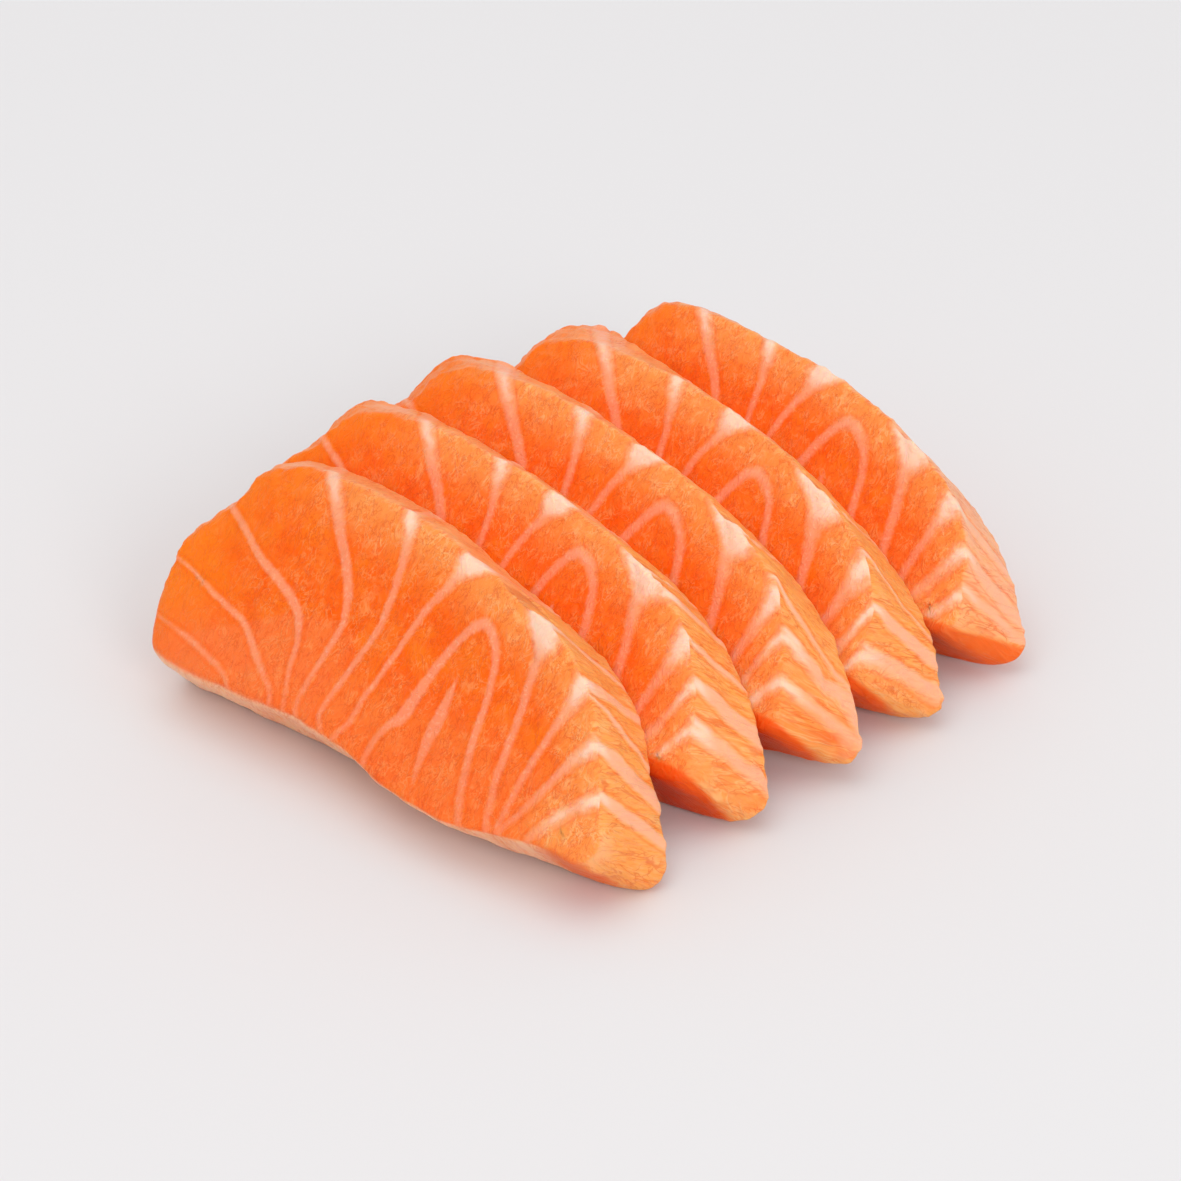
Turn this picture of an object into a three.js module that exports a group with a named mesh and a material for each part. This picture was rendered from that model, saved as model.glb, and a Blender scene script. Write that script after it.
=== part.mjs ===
// A row of five thick slices of raw salmon fillet, shingled so that each one leans back on the next.
// Millimetres, +Z up. The slices stand with their heels on Z = 0, X runs along a slice from its
// blunt end to its nose, and Y along the row from the front slice to the back one.
import * as THREE from 'three';

const LEAN = THREE.MathUtils.degToRad(46); // slope of the cut faces above the table
const FOOT = 10.2; // height of every cut face's foot line, measured square to the face
const DIG = 2; // how far the sole would reach below the table before it is cut flat

// `row` and `slide` place a slice along Y and X, and `thick` is square to its cut face. `length` and
// `height` are shares of the front slice's. The rest shifts parts of the outline by millimetres:
// `tip` and `reach` the nose on the cut face and on the far side, `lift` the nose's underside,
// `blunt` the other end, and `crown`, `waist` and `shoulder` the far side's ridge, in that order. The
// cut face's ridge follows the last two by half.
const SLICES = [
  { row: 0, slide: 0, thick: 12.3, length: 1, height: 1 },
  {
    row: 17.55, slide: -1.6, thick: 9.6, length: 1.021, height: 0.947,
    tip: -1.3, reach: 2.2, lift: -0.2, blunt: -1.1, crown: -0.1, waist: -0.4,
  },
  {
    row: 31.3, slide: -1, thick: 8.55, length: 1.042, height: 0.957,
    tip: -1, reach: 3, lift: 0.6, blunt: 0.4, crown: 0.3, waist: -0.3, shoulder: -0.6,
  },
  {
    row: 43.6, slide: 4.4, thick: 11.2, length: 1.006, height: 0.971,
    tip: -2.6, reach: 1.6, lift: 1.4, blunt: 0.3, crown: 2, waist: -0.7, shoulder: -1.6,
  },
  {
    row: 59.6, slide: 7.3, thick: 10.4, length: 0.991, height: 0.937,
    tip: -2, reach: 0.8, lift: 0.5, blunt: 2.7, crown: -0.1, waist: -0.9, shoulder: -1.3,
  },
];

// Outline of the front slice, clockwise from the blunt end, as [along, up the slope]: first on the
// cut face, then on the far side, where a SOLE point reaches below the table. The other entries say
// how much of a slice's own shifts each point takes.
const SOLE = -Infinity;
const OUTLINE = [
  { face: [3.2, 11.2], far: [3, 12.5], blunt: 1 },
  { face: [3.7, 16], far: [2.5, 18.4], blunt: 1 },
  { face: [7, 20.5], far: [3.1, 24.2], blunt: 1 },
  { face: [9, 25.1], far: [5.4, 28.6], blunt: 0.9, crown: 0.6 },
  { face: [12.6, 27.5], far: [10.6, 29.9], blunt: 0.5, crown: 1 },
  { face: [18.9, 28.4], far: [18.2, 30], crown: 0.5, waist: 0.4 },
  { face: [30.4, 27.9], far: [30, 28.7], waist: 1 },
  { face: [40.4, 26.1], far: [40, 26.1], waist: 0.2 },
  { face: [53.5, 22.4], far: [53, 22.7], shoulder: 1 },
  { face: [61.3, 17.8], far: [61.2, 18.2], shoulder: 0.9, reach: 0.5 },
  { face: [65.7, 11.8], far: [66.9, 12], reach: 1 },
  { face: [68.4, 7.3], far: [70.6, 7.4], tip: 0.5, reach: 1 },
  { face: [70.3, 2.9], far: [72.6, 4], tip: 1, reach: 1, lift: 0.4 },
  { face: [69.2, 0.9], far: [71, 0.9], tip: 1, reach: 1, lift: 1 },
  { face: [62.5, 0.4], far: [64, -0.9], tip: 0.3, reach: 0.8, lift: 1 },
  { face: [53, -1.4], far: [54.5, SOLE] },
  { face: [43.5, -1], far: [44.5, SOLE] },
  { face: [34.5, 0.9], far: [35, SOLE] },
  { face: [25.5, 1.4], far: [25.5, SOLE] },
  { face: [17, 0.8], far: [16.5, SOLE] },
  { face: [10, 0.7], far: [9.2, SOLE], blunt: 0.5 },
  { face: [6, 1.4], far: [5.2, 0.4], blunt: 1 },
  { face: [4.4, 4], far: [3.6, 3.8], blunt: 1 },
  { face: [3.5, 7.5], far: [3.2, 8], blunt: 1 },
];
const NOSE = 12; // the outline's points after this one belong to the sole
const SEGMENTS = 4; // mesh points per stretch of the outline
const COUNT = OUTLINE.length * SEGMENTS;
const HALF = NOSE * SEGMENTS;
const MIDDLE_LINE = [10, 63]; // where the slice's middle line starts and ends, along the slice

// Shallow hollows of a cut face: centre, reach along and up, and depth. They fade out at the rim.
const HOLLOWS = [
  { at: [9, 17.5], reach: [2.2, 7], depth: 0.45 },
  { at: [17, 7], reach: [6, 4], depth: 0.5 },
  { at: [31, 10], reach: [7, 7], depth: 0.3 },
  { at: [45, 11], reach: [5, 5], depth: 0.35 },
  { at: [59, 6], reach: [5, 4], depth: 0.25 },
];

// Rounding of the edges at the blunt end and at the nose, and where it passes from one to the other.
const FACE_RIM = [1.7, 0.8];
const FAR_RIM = [1.4, 0.9];
const RIM_CHANGE = [5, 45];
const ARC = 1 - Math.SQRT1_2; // how far halfway round a quarter circle is from either side

// Loops of mesh points from the middle of the cut face, over the edges, to the middle of the far
// side. `depth` is a share of the thickness, `inset` and `rim` are shares of the rounding, inwards
// and backwards, `pull` draws a loop towards the middle line, and `dent` is a share of the hollows.
const LOOPS = [
  { depth: 0, inset: 1, pull: 0.68, dent: 1 },
  { depth: 0, inset: 1, pull: 0.4, dent: 1 },
  { depth: 0, inset: 1, pull: 0.16, dent: 0.5 },
  { depth: 0, inset: 1 },
  { depth: 0, inset: ARC, rim: ARC },
  { depth: 0, rim: 1 },
  { depth: 0.42 },
  { depth: 0.8 },
  { depth: 1, rim: -1 },
  { depth: 1, inset: ARC, rim: -ARC },
  { depth: 1, inset: 1 },
  { depth: 1, inset: 1, pull: 0.5 },
];

const { lerp, clamp, smoothstep } = THREE.MathUtils;

// Height on the slope at which a plane `depth` behind the cut face meets the table.
const tableLine = (depth) => -(FOOT - depth) / Math.tan(LEAN);

// The slice's outline `depth` behind its cut face, as COUNT points [along, up].
function outline(slice, depth) {
  const share = depth / slice.thick;
  const corners = OUTLINE.map(({ face, far, ...point }) => {
    const shift = (name) => (point[name] ?? 0) * (slice[name] ?? 0);
    const faceAlong = face[0] + shift('tip') + shift('blunt');
    const farAlong = far[0] + shift('reach') + shift('blunt');
    const ridge = shift('waist') + shift('shoulder');
    const rise = ridge + shift('crown') + shift('lift');
    const faceUp = (face[1] + ridge / 2) * slice.height;
    const soleUp = Math.min(faceUp, tableLine(slice.thick) - DIG);
    const farUp = far[1] === SOLE ? soleUp : (far[1] + rise) * slice.height;
    return new THREE.Vector3(lerp(faceAlong, farAlong, share) * slice.length, lerp(faceUp, farUp, share), 0);
  });
  const curve = new THREE.CatmullRomCurve3(corners, true, 'centripetal');
  return Array.from({ length: COUNT }, (_, i) => {
    const { x, y } = curve.getPoint(i / COUNT);
    return [x, y];
  });
}

// Moves a clockwise outline inwards by `width(along)`.
function shrink(points, width) {
  return points.map(([along, up], i) => {
    const before = points[(i + COUNT - 1) % COUNT];
    const after = points[(i + 1) % COUNT];
    const run = after[0] - before[0];
    const climb = after[1] - before[1];
    const share = width(along) / Math.hypot(run, climb);
    return [along + climb * share, up - run * share];
  });
}

// Draws each point towards the middle line between it and the point across from it.
function gather(points, pull, length) {
  const [start, end] = MIDDLE_LINE;
  return points.map(([along, up], i) => {
    const across = points[(COUNT - i) % COUNT];
    const middle = clamp((along + across[0]) / 2, start * length, end * length);
    return [lerp(along, middle, pull), lerp(up, (up + across[1]) / 2, pull)];
  });
}

// Depth of the cut face's hollows at a point of the slice.
function hollow(slice, along, up) {
  return HOLLOWS.reduce((total, { at, reach, depth }) => {
    const x = (along / slice.length - at[0]) / reach[0];
    const y = (up / slice.height - at[1]) / reach[1];
    return total + depth * Math.exp(-x * x - y * y);
  }, 0);
}

// X, Y and Z of a point `depth` behind the cut face, which is kept from sinking below the table.
function lean(along, up, depth) {
  const height = FOOT - depth;
  const raised = Math.max(up, tableLine(depth));
  return [
    along,
    raised * Math.cos(LEAN) - height * Math.sin(LEAN),
    Math.max(0, raised * Math.sin(LEAN) + height * Math.cos(LEAN)),
  ];
}

function slicePoints(slice) {
  return LOOPS.flatMap(({ depth, pull = 0, inset = 0, rim = 0, dent = 0 }) => {
    const [blunt, nose] = depth === 1 ? FAR_RIM : FACE_RIM;
    const rounding = (along) => lerp(blunt, nose, smoothstep(along, ...RIM_CHANGE));
    const edge = shrink(outline(slice, depth * slice.thick), (along) => inset * rounding(along));
    return gather(edge, pull, slice.length).flatMap(([along, up]) => {
      const behind = depth * slice.thick + rim * rounding(along) + dent * hollow(slice, along, up);
      return lean(along, up, behind);
    });
  });
}

// Joins each loop to the next one, and closes both middles rung by rung from the crown to the sole.
function sliceFaces() {
  const faces = [];
  const patch = (a, b, c, d) => {
    if (a !== b) faces.push(a, b, c);
    if (c !== d) faces.push(a, c, d);
  };
  for (let loop = 1; loop < LOOPS.length; loop++) {
    const inner = (loop - 1) * COUNT;
    const outer = loop * COUNT;
    for (let i = 0; i < COUNT; i++) {
      const next = (i + 1) % COUNT;
      patch(inner + i, inner + next, outer + next, outer + i);
    }
  }
  const back = (LOOPS.length - 1) * COUNT;
  for (let i = 0; i < HALF; i++) {
    const low = (COUNT - i) % COUNT;
    const nextLow = COUNT - i - 1;
    patch(i, low, nextLow, i + 1);
    patch(back + low, back + i, back + i + 1, back + nextLow);
  }
  return faces;
}

function makeSlice(slice, name) {
  const geometry = new THREE.BufferGeometry();
  geometry.setAttribute('position', new THREE.Float32BufferAttribute(slicePoints(slice), 3));
  geometry.setIndex(sliceFaces());
  geometry.computeVertexNormals();
  const flesh = new THREE.MeshStandardMaterial({ color: 0xf2742c, roughness: 0.42 });
  const mesh = new THREE.Mesh(geometry, flesh);
  mesh.name = name;
  mesh.position.set(slice.slide, slice.row, 0);
  return mesh;
}

const salmon = new THREE.Group();
SLICES.forEach((slice, i) => salmon.add(makeSlice(slice, `slice_${i + 1}`)));

// the origin is the middle of the row's footprint, on the table
const { x, y } = new THREE.Box3().setFromObject(salmon).getCenter(new THREE.Vector3());
salmon.position.set(-x, -y, 0);

export default salmon;
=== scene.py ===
import math

import bmesh
import bpy
import numpy as np
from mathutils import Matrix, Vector, noise
from mathutils.kdtree import KDTree


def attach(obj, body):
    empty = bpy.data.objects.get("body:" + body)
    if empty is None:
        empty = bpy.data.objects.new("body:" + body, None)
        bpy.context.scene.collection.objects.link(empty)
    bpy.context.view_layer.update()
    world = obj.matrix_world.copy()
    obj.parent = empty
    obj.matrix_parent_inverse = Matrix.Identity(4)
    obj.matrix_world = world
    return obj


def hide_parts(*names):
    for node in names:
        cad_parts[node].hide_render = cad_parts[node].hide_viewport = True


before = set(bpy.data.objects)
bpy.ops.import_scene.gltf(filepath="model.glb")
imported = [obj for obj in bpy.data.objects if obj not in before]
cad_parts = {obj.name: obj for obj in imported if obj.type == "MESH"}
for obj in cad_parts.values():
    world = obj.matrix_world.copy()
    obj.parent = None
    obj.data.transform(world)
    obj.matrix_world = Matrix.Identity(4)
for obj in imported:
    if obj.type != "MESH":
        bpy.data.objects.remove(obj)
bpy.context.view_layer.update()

MM = 0.001
LEAN = math.radians(46)  # slope of the cut faces
FOOT = 10.2  # height of every cut face's foot line, square to the face
FACING = np.array([0, -math.sin(LEAN), math.cos(LEAN)])  # the way the cut faces look
FRONT = (-39.934, -35.305)  # X and Y of the front slice's place in the row

# Where `shift` and `slant` are given, along a slice
SHIFT_AT = [20, 35, 50, 65, 69]
SLANT_AT = [20, 30, 40, 52, 60, 68]
BODY_SLANT = (-0.3, -0.25, 0.3, 0.6)  # at the first four places, the same for every slice

# `slide` and `row` place a slice along X and Y from the front one, and `thick` is its thickness, as in
# the part's source. `shift` moves its fat lines along. `slant` is how far they move along on their way
# behind, at the last two places.
# `stripes` are its fat lines on the band between the ridges: where each starts and ends along, and its
# share of the usual width. One without a start begins where the cut face's line meets the ridge.
# `corner` is the lowest end of the cut face's ridge, along and up. `edge` is how high the nose's shaded
# underside reaches on the cut face, and how much that changes with each millimetre behind. `shade` is
# how strong the painted shade on that underside is, and `pink` tints the band.
SLICES = {
    "slice_1": {
        "slide": 0, "row": 0, "thick": 12.3,
        "shift": (0, 0, 0, 0, 0), "slant": (0.25, 0.26),
        "stripes": {
            "fourth": (None, 58.6, 1), "fifth": (None, 61.8, 1), "low": (61.4, 65.7, 1),
            "sixth": (None, 68.2, 1), "seventh": (None, 71.1, 1),
        },
        "corner": (70.1, 2.9), "edge": (1.2, -0.06), "shade": 0.6, "pink": 0,
    },
    "slice_2": {
        "slide": -1.6, "row": 17.55, "thick": 9.6,
        "shift": (-0.2, 0.3, 0.8, 3.8, 1.8), "slant": (0.5, 0.65),
        "stripes": {
            "fourth": (None, 57.8, 1), "fifth": (58.4, 63.2, 1), "low": (63.4, 68, 1.2),
            "sixth": (None, 72.3, 1), "seventh": (None, 75.7, 1),
        },
        "corner": (70.2, 3), "edge": (2.7, -0.28), "shade": 1, "pink": 0,
    },
    "slice_3": {
        "slide": -1, "row": 31.3, "thick": 8.55,
        "shift": (-0.6, 0.5, 1.7, 5.2, 3.8), "slant": (1.1, 1.15),
        "stripes": {
            "fourth": (None, 60, 1), "fifth": (63.4, 75.6, 0.45),
            "sixth": (None, 77.6, 0.8), "seventh": (None, 79.3, 0.8),
        },
        "corner": (72.1, 2.9), "edge": (2.7, -0.23), "shade": 1, "pink": 0,
    },
    "slice_4": {
        "slide": 4.4, "row": 43.6, "thick": 11.2,
        "shift": (-0.8, -1.1, -0.2, 4, 1.8), "slant": (0.6, 0.5),
        "stripes": {
            "fourth": (None, 60, 1), "fifth": (62, 69.6, 0.4),
            "sixth": (None, 71.6, 0.8), "seventh": (None, 74, 0.8),
        },
        "corner": (68, 3.2), "edge": (2.7, -0.15), "shade": 1, "pink": 0,
    },
    "slice_5": {
        "slide": 7.3, "row": 59.6, "thick": 10.4,
        "shift": (-1.2, -2.3, -0.9, 1.8, 0.5), "slant": (0.7, 0.6),
        "stripes": {
            "fourth": (None, 58, 1), "fifth": (None, 67.5, 1),
            "sixth": (None, 71, 0.8), "seventh": (None, 72.5, 0.8),
        },
        "corner": (67.7, 3.2), "edge": (2.1, 0.22), "shade": 0.8, "pink": 1,
    },
}
SINK = 0.2  # how far the fat lines sink with each millimetre behind

# Width of each stripe of the band at the cut face's ridge, a quarter of the way back, and at the far ridge
STRIPES = {
    "fourth": (2.6, 1.2, 0.9),
    "fifth": (2, 2, 1.3),
    "low": (0.6, 0.9, 0.8),
    "sixth": (1.5, 2.1, 2.5),
    "seventh": (1.3, 1.7, 1.6),
}
STRIPE_WIDTHS_AT = [0, 0.25, 1]
STRIPE_POINTS = 9
RIM_DEPTH = 2  # the cut face's ridge ends before this, behind
BAND_FROM = (44, 49)  # where the stripes take over from the lines, along
UPPER_SHARE = 0.15  # how much a millimetre up counts against one of distance when a stripe is placed

# Each fat line as points (along, up, width), from its ridge end or the blunt end to its foot. The arch
# runs from foot to foot, and a width below zero ends a line in a point.
FAT_LINES = {
    "chin": [
        (4, 5.7, 0.2), (8.2, 5, 0.45), (11.1, 4.5, 0.7), (14.3, 3.7, 0.7), (16.5, 3, 0.65),
        (18.3, 1.7, 0.6), (19.5, -1, 0.5),
    ],
    "cheek": [
        (1, 13, 0.3), (4.1, 12.4, 0.35), (7.5, 11.6, 0.5), (10.8, 10.5, 0.65), (14.1, 9.6, 0.75),
        (16.5, 8.9, 0.8), (18.4, 7.5, 0.8), (19.7, 6.5, 0.95), (21.9, 4.8, 0.75), (24.1, 3.1, 0.6),
        (25.5, 0, 0.5),
    ],
    "brow": [
        (5, 22, 0.9), (8, 20.1, 0.85), (11.2, 18.4, 0.85), (14.7, 16.3, 1), (17.7, 15.1, 1.15),
        (20.5, 13.9, 1.15), (22.5, 12.6, 1.15), (23.6, 11.1, 1), (24.5, 9.2, 0.75), (25, 6.5, 0.6),
        (26, 3.8, 0.5), (27, 0, 0.4),
    ],
    "first": [
        (14, 33, 1.6), (18.5, 28.2, 1.6), (21, 25.3, 1.45), (23.6, 22, 1.35), (25.8, 19.5, 1.3),
        (27.7, 16.7, 1.1), (28.7, 14, 0.9), (28.8, 12.4, 0.85), (28.4, 9.2, 0.8), (28.1, 6, 0.7),
        (27.9, 3, 0.65), (28.9, 1.2, 0.6), (29.5, -1, 0.5),
    ],
    "second": [
        (29.2, 32, 1.2), (30.3, 28.6, 1.2), (31.3, 26, 1.2), (32.2, 23.4, 1.1), (33, 19.9, 0.95),
        (33.5, 15, 0.9), (33, 12.4, 0.9), (32.3, 9.4, 0.8), (31.7, 6.1, 0.75), (31.3, 3.4, 0.7),
        (32.1, 1.8, 0.7), (32.5, -1, 0.6),
    ],
    "third": [
        (43, 29.5, 1.4), (41.4, 26.4, 1.4), (40.1, 23.9, 1.2), (39.2, 21.4, 1), (38.1, 18.6, 0.9),
        (37.1, 13.8, 0.8), (36.4, 10.4, 0.75), (35.6, 7.2, 0.7), (35.3, 4, 0.7), (34.2, 1.4, 0.7),
        (33.5, -1, 0.6),
    ],
    "arch": [
        (39.1, -2, 0.8), (39.1, 0.7, 0.8), (39.1, 2, 0.9), (39.5, 4.1, 0.9), (40.4, 5.8, 1.1),
        (41.2, 6.8, 1.6), (41.5, 8.9, 1.5), (42, 11.8, 1.2), (42.8, 15, 1.1), (44, 18, 1.1),
        (45.3, 19.6, 1.3), (46.6, 19.4, 1.2), (48, 18.2, 1), (49, 16.5, 0.95), (49.8, 13.4, 0.95),
        (50.5, 9.9, 1), (51.2, 6.2, 1), (52.2, 2.6, 1), (53.5, -0.9, 0.9), (54, -3, 0.9),
    ],
    "inner": [
        (45, 14.4, -0.4), (45.3, 12.6, 0.5), (45.4, 10.2, 1.2), (45.5, 8, 1.7), (45.4, 5.8, 1.5),
        (45.7, 3.4, 1), (46.2, 1, 0.3), (46.6, -1, -0.5),
    ],
    "fourth": [
        (51, 25, 1.6), (52, 22.6, 1.6), (52.7, 21.2, 1.5), (53.4, 19.4, 1.3), (53.9, 16.2, 1.1),
        (54.7, 12.2, 1), (55.2, 8.1, 0.95), (55.7, 4, 0.9), (57.1, -0.7, 0.9), (57.8, -3, 0.9),
    ],
    "fifth": [
        (60.6, 27, 1.4), (60.4, 22, 1.4), (60.1, 18.8, 1.5), (59.8, 16.4, 1.2), (59.3, 12.4, 0.95),
        (58.8, 9.5, 0.9), (58.3, 6.5, 0.85), (58.1, 4, 0.8), (58.2, 1.5, 0.8), (58.3, -1, 0.7),
    ],
    "sixth": [
        (70, 22, 1.3), (67.4, 17.5, 1.3), (64.6, 12.8, 1.3), (63.2, 10.8, 1.2), (62.1, 8.5, 1),
        (61, 5.9, 0.95), (59.9, 3.2, 0.85), (58.7, 0.6, 0.8), (58.4, -1, 0.7),
    ],
    "seventh": [
        (75, 16, 1.2), (71, 11.5, 1.2), (67.7, 7.8, 1.3), (65.8, 6.1, 1.2), (64.5, 4.6, 1.1),
        (63, 2.4, 1), (62.2, 0.9, 0.9), (61.8, -1, 0.8),
    ],
}
SAMPLES = 6  # straight pieces per stretch of a fat line
NO_FAT = 4  # added to the distance from the fat where a surface has none
GAP_RANGE = (-2, 3)  # the material gets distances from the fat within these

# How far each side of a line widens towards the ridges, and how far from them that starts
FLARES = {
    "first": 0.1, "second": 0.4, "third": 1.3, "fourth": 1.4, "fifth": 0.6, "sixth": 0.3, "seventh": 0.3,
}
FLARE_FROM = 3.2

# Creases of the cut faces as points (along, up, width), and how deep they are
HEAD_CREASE = [
    (9.5, 5.1, 0), (16.5, 9, 0), (21.6, 12.3, 0), (24, 12.6, 0), (28.4, 13.6, 0), (33, 12.6, 0),
]
NECK_CREASE = [
    (43, 26.6, 0), (45.7, 25, 0), (48.2, 24, 0), (50, 23, 0), (51.6, 21.2, 0), (52.5, 19.7, 0),
    (53.4, 18.4, 0),
]
CREASES = [(HEAD_CREASE, 0.12), (NECK_CREASE, 0.3)]
CREASE_WIDTH = 0.45
CREASE_REACH = 4  # they end this far behind the cut face
UNDER_CREASE = (-0.2, 0.7)  # the paler flesh under the head's crease sets in between these, below it

# Fine mesh
SAME_POINT = 1e-6  # CAD points nearer than this, in metres, are one
QUAD_BEND = math.radians(60)  # two CAD triangles join into a face with four corners up to these
QUAD_SKEW = math.radians(80)
SMOOTHING_LEVELS = 2
LONGEST_EDGE = 0.42
EVENING_ROUNDS = 40  # how often the cut faces' points are drawn to the middle of their neighbours
EVENING_SHARE = 0.5  # how far each time
FLAT = 0.94  # cosine of the turn up to which a point belongs to a cut face
BLUNT_PINCH = [(7.5, 12.5), (6, 21)]  # where their CAD mesh is pinched: from and to, along and up
NOSE_PINCH = [(-7, -2.5), (1.6, 6.5)]  # the same near the nose, along from the corner
PINCH_DEPTH = 1.5  # how deep into the slice these reach

# Where a slice's surfaces meet. A pair is where a smooth change starts and ends.
MIDDLE = 9  # height on the slope halfway between the ridge and the foot
NOSE_FROM = 40  # where that height starts to go down to the nose's edge, along
NOSE_END = 3  # where it is down, before the corner
MIDDLE_CHANGE = (-0.3, 0.3)  # round that height
SIDE_CHANGE = (0.3, 0.7)  # from a cut face to the side, as one less the cosine of the turn
RIDGE_TURN = (0.45, 0.85)  # cosines of the turn between which a point is on a ridge
NOSE_CHANGE = (-8, -4)  # along from the corner
EDGE_CHANGE = (-0.2, 0.5)  # below the edge of the nose's underside
DOWN_CHANGE = (0.1, -0.4)  # the sole, as the upward part of the direction that a point faces
FAR_CHANGE = (-0.85, -0.6)  # from the far side to the sole, as the cosine of the turn

# Relief, as the height and the size of the bumps
SWELLS = (0.25, 7)
LUMPS = (0.12, 2.2)
RIDGE_BUMPS = (0.3, 1.6)
RIDGE_REACH = 0.9  # how far from a ridge its bumps go
FAT_RISE = 0.05  # how far the fat lines stand out, and how deep the groove beside them is
GROOVE_AT = 0.15  # middle of that groove, from a line's edge
GROOVE_WIDTH = 0.25
FAT_TOP = -0.2  # distance from a line's edge, inside it, where it stands out in full
TABLE_CHANGE = (0.1, 1.5)  # heights above the table between which the relief sets in
NOISE_STEPS = (17.3, 5.1, 9.7)  # how far apart the noises of two seeds are

# Fibres run on behind the cut face: how much less they slant than the fat lines do at the nose and where
# along that starts, how far they sink, and how little they change with each millimetre behind
GRAIN_TURN = 0.22
GRAIN_TURN_FROM = (44, 52)
GRAIN_SINK = 0.14
GRAIN_STRETCH = 0.12
GRAIN_STEP = 7  # how far apart the fibres of two slices are taken

# The painted highlight at the corner, a pale patch: how far behind it is, its size along, up and behind,
# and where it fades
CORNER_BEHIND = 0.3
CORNER_REACH = [1.2, 1.5, 2.2]
CORNER_FADE = (1.8, 0.4)

BODY_FROM = (13, 24)  # where the blunt end's look gives way to the body's, along

# The camera, fitted to the photograph: the way to it, what it looks at and how far off, in millimetres
CAMERA_WAY = (0.5245, -0.6544, 0.5446)
CAMERA_AIM = (-10.017, 8.978, 0)
CAMERA_DISTANCE = 448.87
CAMERA_LENS = 114.25
CAMERA_SENSOR = 36

FLOOR_HALF = 3  # half the floor's width, in metres
FLOOR_TONE = (0.76, 0.75, 0.755, 1)
WORLD_TONE = (1, 0.995, 1, 1)
WORLD_STRENGTH = 0.84


def colour(red, green, blue):
    """A colour that shows with these values from 0 to 255."""
    shown = np.array([red, green, blue]) / 255
    linear = np.where(shown <= 0.04045, shown / 12.92, ((shown + 0.055) / 1.055) ** 2.4)
    return (*linear, 1)


DEEP = colour(253, 98, 0)
MIDDLE_TONE = colour(254, 114, 22)
AMBER = colour(255, 126, 6)
# Paler near the ridges: partly the flesh's own tone, partly painted sheen
RIDGE_TONE_AND_SHEEN = colour(255, 150, 72)
# Yellower at the head's ridge: partly its own tone, partly a painted glow of light through the thin rim
HEAD_RIDGE_TONE_AND_GLOW = colour(255, 134, 24)
LOWER = colour(250, 122, 60)
# Yellower at the blunt end: partly its own tone, partly a painted glow of light through the thin rim
BLUNT_TONE_AND_GLOW = colour(255, 118, 8)
TOP_BAND = colour(255, 162, 104)
NOSE_BAND = colour(255, 164, 84)
DARK_STREAK = colour(244, 118, 40)
PALE_STREAK = colour(255, 186, 130)
PINK_BAND = colour(255, 182, 148)
# Painted shade on the nose's underside: deep red, deeper near the table
SHADED_UNDERSIDE = colour(244, 88, 0)
DEEPER_SHADED_UNDERSIDE = colour(206, 48, 0)
# The sole under the cut face's lower rim: partly its own paler tone, partly painted light against its
# shade
SOLE_TONE_AND_LIGHT = colour(255, 196, 156)
# Painted highlight at the nose's corner
CORNER_HIGHLIGHT = colour(255, 180, 128)
STRAND = colour(255, 148, 82)
RIDGE_STRAND = colour(255, 190, 126)
HAIR = colour(222, 76, 8)
# Painted shade in the creases
CREASE_SHADE = colour(196, 62, 6)
FAT = colour(254, 146, 104)
FAT_THREAD = colour(255, 190, 158)
HEAD_FAT = colour(254, 154, 110)
RIDGE_FAT = colour(255, 180, 142)
WHITE_FAT = colour(255, 214, 188)


def smoothstep(values, start, end):
    """0 where a value is start, 1 where it is end, and a smooth change in between."""
    share = np.clip((values - start) / (end - start), 0, 1)
    return share * share * (3 - 2 * share)


def make_tree(places):
    tree = KDTree(len(places))
    for i, place in enumerate(places):
        tree.insert(place, i)
    tree.balance()
    return tree


def read_vectors(items, name):
    values = np.empty(len(items) * 3)
    items.foreach_get(name, values)
    return values.reshape(-1, 3)


def store(mesh, name, values):
    if values.ndim == 1:
        mesh.attributes.new(name, "FLOAT", "POINT").data.foreach_set("value", values)
    else:
        mesh.attributes.new(name, "FLOAT_VECTOR", "POINT").data.foreach_set("vector", values.ravel())


def to_slice(points, values):
    """Points of the part, in millimetres, as (along, up, behind) of a slice."""
    x = points[:, 0] - FRONT[0] - values["slide"]
    y = points[:, 1] - FRONT[1] - values["row"]
    z = points[:, 2]
    up = y * math.cos(LEAN) + z * math.sin(LEAN)
    behind = FOOT + y * math.sin(LEAN) - z * math.cos(LEAN)
    return np.stack([x, up, behind], axis=1)


def slant_at(along, values):
    return np.interp(along, SLANT_AT, [*BODY_SLANT, *values["slant"]])


def on_front_slice(places, values):
    """Where the flesh at these places of a slice lies on the front slice's cut face."""
    along, up, behind = places.T
    shifted = along - np.interp(along, SHIFT_AT, values["shift"])
    return np.column_stack([shifted - slant_at(along, values) * behind, up + SINK * behind])


def smooth_line(points):
    """A Catmull-Rom curve through the points, as many short straight pieces."""
    points = np.array(points, float)
    ends = [2 * points[0] - points[1], *points, 2 * points[-1] - points[-2]]
    t = np.linspace(0, 1, SAMPLES, endpoint=False)[:, None]
    stretches = []
    for a, b, c, d in zip(ends, ends[1:], ends[2:], ends[3:]):
        square = (2 * a - 5 * b + 4 * c - d) * t**2
        cube = (3 * b - a - 3 * c + d) * t**3
        stretches.append(0.5 * (2 * b + (c - a) * t + square + cube))
    return np.concatenate([*stretches, points[-1:]])


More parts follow.
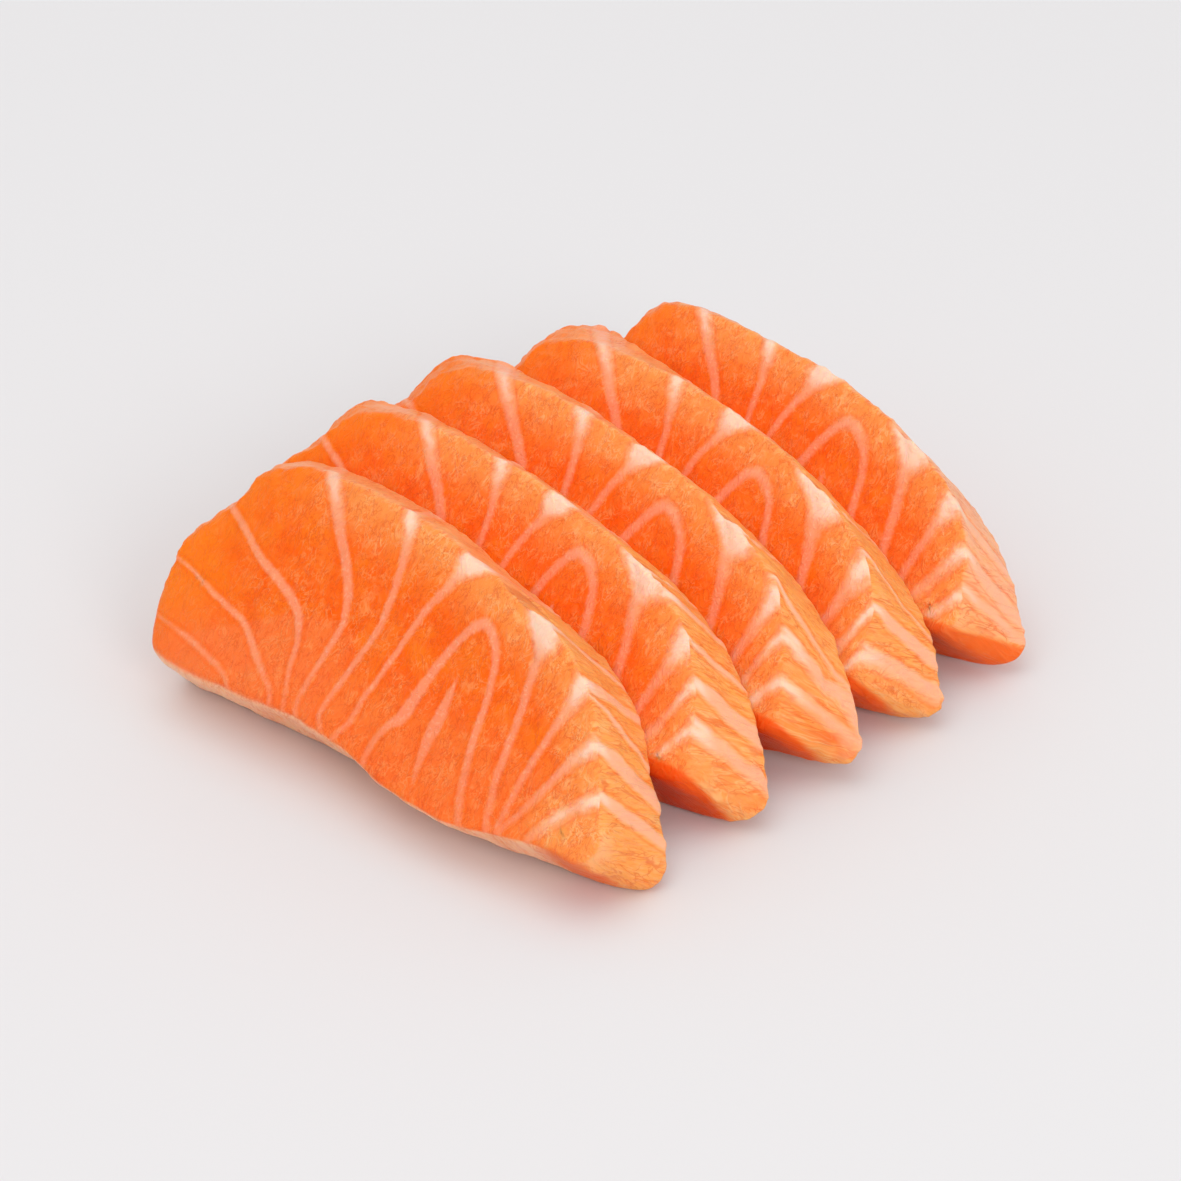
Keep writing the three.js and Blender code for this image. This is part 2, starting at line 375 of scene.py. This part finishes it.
def distance_outside(points, line):
    """How far each point lies outside the line, whose points end with its width there."""
    gap = np.full(len(points), np.inf)
    for start, end in zip(line[:-1], line[1:]):
        run = end[:-1] - start[:-1]
        growth = end[-1] - start[-1]
        from_start = points - start[:-1]
        share = np.clip(from_start @ run / (run @ run), 0, 1)
        off = np.linalg.norm(from_start - share[:, None] * run, axis=1)
        gap = np.minimum(gap, off - (start[-1] + share * growth) / 2)
    return gap


def line_gap(face, ridge):
    """Distance in millimetres from the nearest fat line's edge, less than nothing inside it."""
    widening = smoothstep(ridge, FLARE_FROM, 0)
    gaps = [
        distance_outside(face, smooth_line(points)) - FLARES.get(name, 0) * widening
        for name, points in FAT_LINES.items()
    ]
    return np.min(gaps, axis=0)


def line_end(name, places, face):
    """How far along a fat line meets the cut face's ridge, given the places of that ridge."""
    line = smooth_line(FAT_LINES[name])
    line[:, 2] = 0
    return places[np.argmin(distance_outside(face, line)), 0]


def upper_place(places, along, behind):
    """The place nearest to this along and behind, the upper one where two are about as near."""
    off = np.hypot(places[:, 0] - along, places[:, 2] - behind)
    return places[np.argmin(off - UPPER_SHARE * places[:, 1])]


def stripe_gap(places, face, nose_band, values):
    """Distance in millimetres from the nearest stripe's edge on the band, less than nothing inside it."""
    on_band = places[nose_band > 0.5]
    at_ridge = (nose_band > 0.3) & (nose_band < 0.7) & (places[:, 2] < RIM_DEPTH)
    tree = make_tree(on_band)
    gap = np.full(len(places), np.inf)
    for name, (start_along, end_along, breadth) in values["stripes"].items():
        if start_along is None:
            start_along = line_end(name, places[at_ridge], face[at_ridge])
        start = upper_place(on_band, start_along, 0)
        end = upper_place(on_band, end_along, values["thick"])
        line = []
        for share in np.linspace(0, 1, STRIPE_POINTS):
            nearest = on_band[tree.find(start + share * (end - start))[1]]
            line.append([*nearest, breadth * np.interp(share, STRIPE_WIDTHS_AT, STRIPES[name])])
        gap = np.minimum(gap, distance_outside(places, np.array(line)))
    return gap


def fine_copy(node, name, values):
    """A finer, smooth copy of a CAD node's mesh as a new object."""
    mesh = bpy.data.meshes.new(name)
    work = bmesh.new()
    work.from_mesh(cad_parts[node].data)
    bmesh.ops.remove_doubles(work, verts=work.verts, dist=SAME_POINT)
    bmesh.ops.join_triangles(
        work, faces=work.faces, angle_face_threshold=QUAD_BEND, angle_shape_threshold=QUAD_SKEW
    )
    work.to_mesh(mesh)
    work.free()
    piece = bpy.data.objects.new(name, mesh)
    bpy.context.collection.objects.link(piece)
    smoothing = piece.modifiers.new("smoothing", "SUBSURF")
    smoothing.levels = smoothing.render_levels = SMOOTHING_LEVELS
    smooth = bpy.data.meshes.new_from_object(piece.evaluated_get(bpy.context.evaluated_depsgraph_get()))
    piece.modifiers.clear()
    piece.data = smooth
    bpy.data.meshes.remove(mesh)
    split_long_edges(smooth)
    even_out(smooth, values)
    smooth.name = name
    return piece


def split_long_edges(mesh):
    work = bmesh.new()
    work.from_mesh(mesh)
    while True:
        long_edges = [edge for edge in work.edges if edge.calc_length() > LONGEST_EDGE * MM]
        if not long_edges:
            break
        bmesh.ops.subdivide_edges(work, edges=long_edges, cuts=1, use_grid_fill=True)
        loose = [face for face in work.faces if len(face.verts) > 4]
        bmesh.ops.triangulate(work, faces=loose)
    work.to_mesh(mesh)
    work.free()


def even_out(mesh, values):
    """Spaces the points of both cut faces evenly, because their CAD mesh has pinched places."""
    along, up, behind = to_slice(read_vectors(mesh.vertices, "co") / MM, values).T
    outer = (behind < PINCH_DEPTH) | (behind > values["thick"] - PINCH_DEPTH)
    from_corner, nose_up = NOSE_PINCH
    nose_pinch = (np.add(from_corner, values["corner"][0]), nose_up)
    pinched = np.zeros(len(along), bool)
    for (start, end), (low, high) in (BLUNT_PINCH, nose_pinch):
        pinched |= outer & (along > start) & (along < end) & (up > low) & (up < high)
    work = bmesh.new()
    work.from_mesh(mesh)
    facing = Vector(FACING)
    moving = [vert for vert in work.verts if pinched[vert.index] or abs(vert.normal @ facing) > FLAT]
    for _ in range(EVENING_ROUNDS):
        bmesh.ops.smooth_vert(
            work, verts=moving, factor=EVENING_SHARE, use_axis_x=True, use_axis_y=True, use_axis_z=True
        )
    work.to_mesh(mesh)
    work.free()


def ridge_distance(places, facing, above):
    """Distance in millimetres from the nearer of a slice's two ridges, where its band meets a cut face."""
    tree = make_tree(places[(above > 0.5) & (facing > RIDGE_TURN[0]) & (facing < RIDGE_TURN[1])])
    return np.array([tree.find(place)[2] for place in places])


def find_zones(places, normals, values):
    """How far each point belongs to each part of the slice, from 0 to 1, and its distance from a ridge."""
    along, up, behind = places.T
    facing = np.abs(normals @ FACING)
    corner_along = values["corner"][0]
    edge_up, edge_rise = values["edge"]
    edge = edge_up + edge_rise * behind
    to_nose = np.clip((along - NOSE_FROM) / (corner_along - NOSE_END - NOSE_FROM), 0, 1)
    above = smoothstep(up - MIDDLE * (1 - to_nose) - edge * to_nose, *MIDDLE_CHANGE)
    side = smoothstep(1 - facing, *SIDE_CHANGE)
    nose = smoothstep(along - corner_along, *NOSE_CHANGE)
    downwards = smoothstep(normals[:, 2], *DOWN_CHANGE)
    return {
        "above": above,
        "band": side * above,
        "nose_band": side * above * smoothstep(along, *BAND_FROM),
        "low_side": side * (1 - above),
        "shade": nose * smoothstep(edge - up, *EDGE_CHANGE) * values["shade"],
        # the downward-facing sole, where its paler tone and painted light go
        "sole_tone_and_light": downwards * smoothstep(normals @ FACING, *FAR_CHANGE) * (1 - nose),
        "ridge": ridge_distance(places, facing, above),
    }


def find_fat(places, face, zones, values):
    """Distance in millimetres from the edge of the nearest fat, less than nothing inside it."""
    lines = line_gap(face, zones["ridge"]) + NO_FAT * smoothstep(zones["nose_band"], 0.5, 0.9)
    lines += NO_FAT * zones["low_side"]
    stripes = stripe_gap(places, face, zones["nose_band"], values) + NO_FAT * (1 - zones["above"])
    return np.minimum(lines, stripes) + NO_FAT * zones["shade"]


def find_creases(places, face):
    """Depth of the creases of the cut face at these places, in millimetres."""
    depth = np.zeros(len(face))
    for points, deep in CREASES:
        off = distance_outside(face, smooth_line(points))
        depth += deep * np.exp(-((np.maximum(off, 0) / CREASE_WIDTH) ** 2))
    return depth * (places[:, 2] < CREASE_REACH)


def rough(points, size, seed):
    """Soft noise of about -0.5 to 0.5 at the points, with bumps of this size in millimetres."""
    offset = Vector([seed * step for step in NOISE_STEPS])
    return np.array([noise.fractal(Vector(point) / size + offset, 1, 2, 2) for point in points])


def find_relief(points, ridge, gap, creases, seed):
    """How far the flesh stands out at the points, in millimetres. Each noise has a seed of its own."""
    swell, swell_size = SWELLS
    lump, lump_size = LUMPS
    bump, bump_size = RIDGE_BUMPS
    relief = swell * rough(points, swell_size, seed) + lump * rough(points, lump_size, seed + 10)
    relief += bump * rough(points, bump_size, seed + 20) * np.exp(-((ridge / RIDGE_REACH) ** 2))
    groove = np.exp(-(((gap - GROOVE_AT) / GROOVE_WIDTH) ** 2))
    relief += FAT_RISE * smoothstep(gap, GROOVE_AT, FAT_TOP) - FAT_RISE * groove
    relief -= creases
    return relief * smoothstep(points[:, 2], *TABLE_CHANGE)


# The painted highlight at the nose's corner: a pale patch, from 0 to 1
def corner_highlight(places, band, values):
    middle = np.array([*values["corner"], CORNER_BEHIND])
    off = np.linalg.norm((places - middle) / CORNER_REACH, axis=1)
    return smoothstep(off, *CORNER_FADE) * smoothstep(band, 0.4, 0.7)


def grain_places(places, values, seed):
    """Where the fibres' noise is taken, so that they run on behind the cut face."""
    along, up, behind = places.T
    slant = slant_at(along, values) - GRAIN_TURN * smoothstep(along, *GRAIN_TURN_FROM)
    stretched = GRAIN_STRETCH * behind + GRAIN_STEP * seed
    return np.column_stack([along - slant * behind, up - GRAIN_SINK * behind, stretched])


def make_slice(node, values, material):
    """A slice with its relief in the mesh, and with what its material needs stored at the points."""
    piece = fine_copy(node, node.replace("slice", "salmon"), values)
    mesh = piece.data
    points = read_vectors(mesh.vertices, "co") / MM
    normals = read_vectors(mesh.vertex_normals, "vector")
    places = to_slice(points, values)
    face = on_front_slice(places, values)
    zones = find_zones(places, normals, values)
    gap = find_fat(places, face, zones, values)
    creases = find_creases(places, face)
    seed = list(SLICES).index(node)
    relief = find_relief(points, zones["ridge"], gap, creases, seed)
    mesh.vertices.foreach_set("co", ((points + normals * relief[:, None]) * MM).ravel())

    for name in ("ridge", "band", "nose_band", "shade", "sole_tone_and_light"):
        store(mesh, name, zones[name])
    crease_up = np.interp(face[:, 0], *np.array(HEAD_CREASE)[:, :2].T)
    store(mesh, "under_crease", smoothstep(crease_up - face[:, 1], *UNDER_CREASE))
    store(mesh, "crease", creases)
    store(mesh, "fat_gap", np.clip(gap, *GAP_RANGE))
    store(mesh, "pink", values["pink"] * zones["nose_band"])
    # where the painted highlight at the corner goes
    store(mesh, "corner", corner_highlight(places, zones["band"], values))
    store(mesh, "place", np.column_stack([face, places[:, 2]]))
    store(mesh, "grain", grain_places(places, values, seed))
    mesh.update()
    mesh.shade_smooth()
    mesh.materials.clear()
    mesh.materials.append(material)
    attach(piece, "root")
    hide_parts(node)
    print(node, len(points), "vertices", sum(len(p.vertices) - 2 for p in mesh.polygons), "triangles")


class Shading:
    """Adds nodes to a new material, each fed by sockets or plain values."""

    def __init__(self, name):
        self.material = bpy.data.materials.new(name)
        self.material.use_nodes = True
        self.tree = self.material.node_tree
        self.shader = self.tree.nodes["Principled BSDF"]

    def feed(self, socket, value):
        if isinstance(value, bpy.types.NodeSocket):
            self.tree.links.new(value, socket)
        else:
            socket.default_value = value

    def add(self, kind, inputs, **settings):
        node = self.tree.nodes.new("ShaderNode" + kind)
        for name, value in settings.items():
            setattr(node, name, value)
        for name, value in inputs.items():
            self.feed(node.inputs[name], value)
        return node

    def number(self, name):
        return self.add("Attribute", {}, attribute_name=name).outputs["Fac"]

    def vector(self, name):
        return self.add("Attribute", {}, attribute_name=name).outputs["Vector"]

    def noise(self, place, size, detail=2, warp=0.0):
        inputs = {"Vector": place, "Scale": 1 / size, "Detail": detail, "Distortion": warp}
        return self.add("TexNoise", inputs).outputs["Fac"]

    def shifted(self, place, offset):
        """The place moved, so that noise there is another noise."""
        return self.add("VectorMath", {0: place, 1: (offset, offset, offset)}, operation="ADD").outputs[0]

    def ridges(self, place, size, width):
        """Thin wriggly lines: 1 on them, and 0 beyond this share of the noise's range."""
        waves = self.noise(place, size, warp=1.6)
        return self.step(self.maths("ABSOLUTE", self.maths("SUBTRACT", waves, 0.5)), width, 0.0)

    def maths(self, operation, a, b=0.0):
        return self.add("Math", {0: a, 1: b}, operation=operation).outputs[0]

    def plus(self, a, b):
        return self.maths("ADD", a, b)

    def times(self, a, b):
        return self.maths("MULTIPLY", a, b)

    def rest(self, share):
        """What is left of one."""
        return self.maths("SUBTRACT", 1, share)

    def step(self, value, start, end, low=0.0, high=1.0):
        """low where value is start, high where it is end, and a smooth change in between."""
        inputs = {"Value": value, "From Min": start, "From Max": end, "To Min": low, "To Max": high}
        return self.add("MapRange", inputs, interpolation_type="SMOOTHSTEP").outputs["Result"]

    def blend(self, share, first, second):
        inputs = {0: share, 6: first, 7: second}
        return self.add("Mix", inputs, data_type="RGBA").outputs[2]


def make_flesh():
    flesh = Shading("salmon_flesh")
    grain = flesh.vector("grain")
    place = flesh.add("SeparateXYZ", {0: flesh.vector("place")}).outputs
    ridge = flesh.number("ridge")
    patches = flesh.noise(grain, size=4, detail=3)
    near_ridge = flesh.step(flesh.plus(ridge, flesh.times(patches, 5)), 9.5, 2.5)
    body = flesh.step(place[0], *BODY_FROM)
    near = flesh.times(near_ridge, body)

    muscle = flesh_tones(flesh, grain, place, patches, near_ridge, near)
    strands = flesh_strands(flesh, grain)
    smooth_parts = flesh.maths("MAXIMUM", flesh.step(place[0], 20, 8, high=0.7), flesh.number("shade"))
    textured = flesh.rest(smooth_parts)
    pale_share = flesh.times(strands["pale"], flesh.times(strands["strength"], textured))
    muscle = flesh.blend(pale_share, muscle, flesh.blend(near, STRAND, RIDGE_STRAND))
    hair_share = flesh.times(strands["hair"], flesh.times(textured, 0.5))
    muscle = flesh.blend(hair_share, muscle, HAIR)
    # Painted shade: the deeper creases are darkened
    crease_shade_share = flesh.step(flesh.number("crease"), 0.12, 0.3, high=0.4)
    muscle = flesh.blend(crease_shade_share, muscle, CREASE_SHADE)
    gap = flesh.number("fat_gap")
    outline = flesh.times(flesh.step(gap, 0.15, 0.3), flesh.step(gap, 0.7, 0.35))
    muscle = flesh.blend(flesh.times(outline, 0.3), muscle, DEEP)
    surface = flesh_fat(flesh, grain, place, ridge, body, muscle)

    bump = flesh.add("Bump", {"Height": strands["height"], "Strength": 0.8, "Distance": 0.22 * MM})
    shader = flesh.shader
    flesh.feed(shader.inputs["Base Color"], surface)
    flesh.feed(shader.inputs["Normal"], bump.outputs["Normal"])
    shader.inputs["Roughness"].default_value = 0.36
    shader.inputs["Specular IOR Level"].default_value = 0.16
    shader.inputs["IOR"].default_value = 1.4
    shader.inputs["Subsurface Weight"].default_value = 0.5
    shader.inputs["Subsurface Radius"].default_value = (1.0, 0.3, 0.12)
    shader.inputs["Subsurface Scale"].default_value = 1.2 * MM
    return flesh.material


def flesh_tones(flesh, grain, place, patches, near_ridge, near):
    """Muscle in patches: duller at the feet and under the head's crease, paler near the ridges partly by
    painted sheen, yellower at the blunt end partly by painted glow, peach on the band, painted light on
    the sole, a painted highlight at the nose's corner, and deep red on the nose's underside as painted
    shade."""
    muscle = flesh.blend(flesh.step(patches, 0.35, 0.65), DEEP, MIDDLE_TONE)
    amber = flesh.step(flesh.noise(flesh.shifted(grain, 31), size=3), 0.5, 0.66, high=0.35)
    muscle = flesh.blend(amber, muscle, AMBER)
    height = flesh.plus(place[1], flesh.times(patches, 6))
    muscle = flesh.blend(flesh.step(height, 15, 8, high=0.5), muscle, LOWER)
    under_head = flesh.times(flesh.number("under_crease"), flesh.step(place[0], 36, 26, high=0.6))
    muscle = flesh.blend(under_head, muscle, LOWER)
    # Near the ridges the muscle turns paler, partly its own tone and partly painted sheen
    muscle = flesh.blend(near, muscle, RIDGE_TONE_AND_SHEEN)
    # Yellower at the blunt end and the head's ridge: partly own tone, partly painted glow through the thin
    # rim
    muscle = flesh.blend(flesh.step(place[0], 12, 2, high=0.6), muscle, BLUNT_TONE_AND_GLOW)
    head_start, head_end = BODY_FROM
    at_head = flesh.times(near_ridge, flesh.step(place[0], head_end, head_start, high=0.5))
    muscle = flesh.blend(at_head, muscle, HEAD_RIDGE_TONE_AND_GLOW)
    muscle = flesh.blend(flesh.times(flesh.number("band"), 0.75), muscle, TOP_BAND)
    muscle = flesh.blend(flesh.number("nose_band"), muscle, nose_streaks(flesh, grain))
    # The sole turns pale: partly its own tone, partly painted light against its shade
    muscle = flesh.blend(flesh.times(flesh.number("sole_tone_and_light"), 0.85), muscle, SOLE_TONE_AND_LIGHT)
    # Painted highlight: a pale patch at the nose's corner
    muscle = flesh.blend(flesh.times(flesh.number("corner"), 0.65), muscle, CORNER_HIGHLIGHT)
    # Painted shade: the nose's underside below its edge turns deep red, deepest near the table
    underside = flesh.blend(flesh.step(place[1], 2.8, 0.2), SHADED_UNDERSIDE, DEEPER_SHADED_UNDERSIDE)
    return flesh.blend(flesh.times(flesh.number("shade"), 0.9), muscle, underside)


def nose_streaks(flesh, grain):
    """The nose's band, with fine dark and pale streaks."""
    streaks = flesh.noise(flesh.shifted(grain, 67), size=0.3)
    pinked = flesh.blend(flesh.times(flesh.number("pink"), 0.7), NOSE_BAND, PINK_BAND)
    streaked = flesh.blend(flesh.step(streaks, 0.5, 0.72, high=0.45), pinked, DARK_STREAK)
    return flesh.blend(flesh.step(streaks, 0.48, 0.3, high=0.35), streaked, PALE_STREAK)


def flesh_strands(flesh, grain):
    """Wavy strands that run up the slice, and fine dark hairs between them."""
    upright = flesh.add("VectorMath", {0: grain, 1: (1, 0.55, 1)}, operation="MULTIPLY").outputs[0]
    curls = flesh.ridges(flesh.shifted(upright, 11), size=1.5, width=0.06)
    threads = flesh.ridges(flesh.shifted(upright, 37), size=1.0, width=0.06)
    hair = flesh.ridges(flesh.shifted(upright, 23), size=1.3, width=0.045)
    hair = flesh.maths("MAXIMUM", hair, flesh.ridges(flesh.shifted(upright, 59), size=0.9, width=0.04))
    fine = flesh.noise(upright, size=0.4, warp=1.6)
    scattered = flesh.step(flesh.noise(flesh.shifted(grain, 41), size=1.6), 0.34, 0.56)
    clumps = flesh.noise(flesh.shifted(grain, 53), size=1.8)
    return {
        "pale": flesh.maths("MAXIMUM", curls, flesh.times(threads, 0.8)),
        "strength": flesh.step(clumps, 0.38, 0.66, low=0.1, high=0.8),
        "hair": flesh.times(hair, scattered),
        "height": flesh.plus(flesh.times(fine, 0.5), flesh.times(curls, 0.3)),
    }


def flesh_fat(flesh, grain, place, ridge, body, muscle):
    """Fat lines with soft, slightly ragged edges: fainter at the feet, and white at the ridges."""
    nose_band = flesh.number("nose_band")
    near = flesh.times(flesh.step(ridge, 6, 1), body)
    wedge = flesh.times(near, flesh.rest(nose_band))
    uneven = flesh.maths("SUBTRACT", flesh.noise(grain, size=0.9, detail=3), 0.5)
    ragged = flesh.times(uneven, flesh.plus(0.45, flesh.times(wedge, 0.9)))
    gap = flesh.plus(flesh.number("fat_gap"), flesh.plus(ragged, 0.06))
    softness = flesh.plus(0.26, flesh.times(wedge, 0.6))
    fat = flesh.step(gap, softness, flesh.times(softness, -1))
    tone = flesh.blend(flesh.step(place[0], 12, 30), HEAD_FAT, FAT)
    thread_noise = flesh.noise(flesh.shifted(grain, 83), size=0.5, warp=1)
    tone = flesh.blend(flesh.step(thread_noise, 0.5, 0.7, high=0.4), tone, FAT_THREAD)
    tone = flesh.blend(flesh.maths("MAXIMUM", near, nose_band), tone, RIDGE_FAT)
    at_ridge = flesh.times(flesh.step(ridge, 3, 0.6), flesh.step(place[2], 3.5, 1))
    white = flesh.times(flesh.times(at_ridge, body), flesh.step(gap, 0.3, -0.8))
    tone = flesh.blend(white, tone, WHITE_FAT)
    from_foot = flesh.step(place[1], 1, 9, low=0.55, high=0.9)
    strength = flesh.maths("MAXIMUM", from_foot, flesh.times(nose_band, 0.85))
    return flesh.blend(flesh.times(fat, strength), muscle, tone)


def make_camera():
    direction = Vector(CAMERA_WAY)
    aim = Vector(CAMERA_AIM) * MM
    camera = bpy.data.cameras.new("camera")
    camera.sensor_width = CAMERA_SENSOR
    camera.lens = CAMERA_LENS
    eye = bpy.data.objects.new("camera", camera)
    eye.location = aim + direction * CAMERA_DISTANCE * MM
    eye.rotation_euler = direction.to_track_quat("Z", "Y").to_euler()
    bpy.context.collection.objects.link(eye)
    bpy.context.scene.camera = eye


def make_floor():
    mesh = bpy.data.meshes.new("floor")
    corners = [(x * FLOOR_HALF, y * FLOOR_HALF, 0) for x, y in ((-1, -1), (1, -1), (1, 1), (-1, 1))]
    mesh.from_pydata(corners, [], [(0, 1, 2, 3)])
    floor = bpy.data.objects.new("floor", mesh)
    bpy.context.collection.objects.link(floor)
    material = bpy.data.materials.new("floor")
    material.use_nodes = True
    shader = material.node_tree.nodes["Principled BSDF"]
    shader.inputs["Base Color"].default_value = FLOOR_TONE
    shader.inputs["Roughness"].default_value = 0.7
    mesh.materials.append(material)


def make_light(name, place, size, power):
    """A round lamp that shines from its place, in metres, to the middle of the row."""
    lamp = bpy.data.lights.new(name, "AREA")
    lamp.shape = "DISK"
    lamp.size = size
    lamp.energy = power
    holder = bpy.data.objects.new(name, lamp)
    holder.location = place
    holder.rotation_euler = Vector(place).to_track_quat("Z", "Y").to_euler()
    bpy.context.collection.objects.link(holder)


def make_world():
    world = bpy.data.worlds.new("world")
    world.use_nodes = True
    background = world.node_tree.nodes["Background"]
    background.inputs["Color"].default_value = WORLD_TONE
    background.inputs["Strength"].default_value = WORLD_STRENGTH
    bpy.context.scene.world = world


bpy.context.scene.view_settings.view_transform = "Standard"
make_camera()
make_floor()
make_world()
make_light("overhead", place=(-0.1, -0.1, 1.0), size=1.0, power=2)
make_light("right", place=(0.95, -0.5, 0.6), size=0.5, power=3.5)
flesh = make_flesh()
for node, values in SLICES.items():
    make_slice(node, values, flesh)
